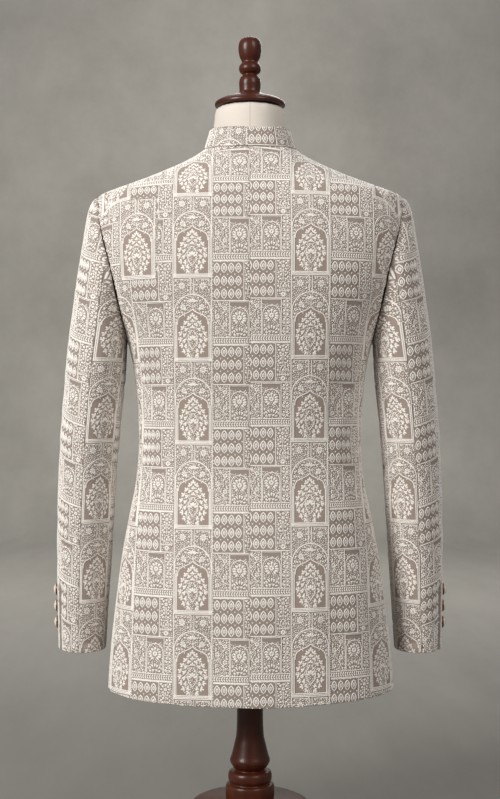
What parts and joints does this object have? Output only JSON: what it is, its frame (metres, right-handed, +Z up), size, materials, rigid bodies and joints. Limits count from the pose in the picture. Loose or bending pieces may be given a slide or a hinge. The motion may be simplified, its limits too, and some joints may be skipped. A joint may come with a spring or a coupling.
{
  "type": "prince coat on a dress form",
  "caption": "Hip-length prince coat in embroidered cloth with a stand collar and buttoned front, worn by a limbless dress form on a turned wooden stand.",
  "frame": {"origin": "on the floor at the middle of the stand's round base", "axes": "+Z up along the stand's column, +Y towards the coat's front, +X towards the wearer's right"},
  "size_m": [0.5612, 0.32, 1.154],
  "materials": {
    "embroidered_cloth": "cream thread on taupe silk",
    "button": "ivory dome in a gilt rim",
    "form_linen": "plain cream linen",
    "varnished_wood": "dark red-brown varnish"
  },
  "bodies": {
    "root": {"back_left": "embroidered_cloth", "back_right": "embroidered_cloth", "front_left": "embroidered_cloth", "front_right": "embroidered_cloth", "sleeve_left_top": "embroidered_cloth", "sleeve_left_under": "embroidered_cloth", "sleeve_right_top": "embroidered_cloth", "sleeve_right_under": "embroidered_cloth", "collar": "embroidered_cloth", "cuff_button_left_1": "button", "cuff_button_left_2": "button", "cuff_button_left_3": "button", "cuff_button_right_1": "button", "cuff_button_right_2": "button", "cuff_button_right_3": "button", "front_button_1": "button", "front_button_2": "button", "front_button_3": "button", "front_button_4": "button", "front_button_5": "button", "front_button_6": "button", "front_button_7": "button", "dress_form": "form_linen", "neck_cap": "varnished_wood", "stand_column": "varnished_wood", "stand_base": "varnished_wood"}
  },
  "joints": []
}
